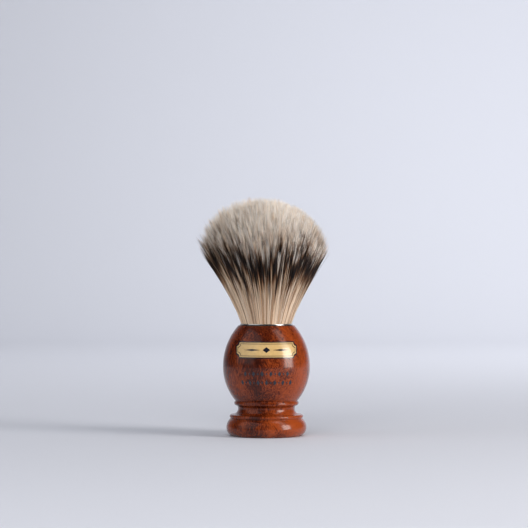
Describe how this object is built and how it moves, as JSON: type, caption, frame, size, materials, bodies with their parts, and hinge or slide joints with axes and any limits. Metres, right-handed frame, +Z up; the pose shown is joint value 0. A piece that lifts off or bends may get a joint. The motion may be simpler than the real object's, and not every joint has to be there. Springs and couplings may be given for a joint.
{
  "type": "shaving brush",
  "caption": "Shaving brush: a turned, lacquered wooden handle with a fan-shaped knot of three-band hair set in a polished metal ring.",
  "frame": {"origin": "centre of the foot's flat base", "axes": "+Z up along the turning axis, towards the hair; -Y is the front, where the label is"},
  "size_m": [0.0598, 0.0598, 0.1095],
  "materials": {
    "wood": "figured red-brown hardwood under clear gloss lacquer",
    "ring_metal": "polished nickel-silver plate",
    "hair": "natural three-band hair, pale tips and a black-brown band",
    "thread": "waxed linen thread",
    "resin": "cast amber resin",
    "adhesive": "cured epoxy",
    "foil": "gold-coloured printed transfer under lacquer",
    "ink": "blue-black printing ink under lacquer"
  },
  "bodies": {
    "root": {"handle": "wood", "ferrule": "ring_metal", "hair_knot": "hair", "binding_thread": "thread", "resin_plug": "resin", "glue_bed": "adhesive", "label_foil": "foil", "label_ink": "ink", "label_ornament": "ink"}
  },
  "joints": []
}
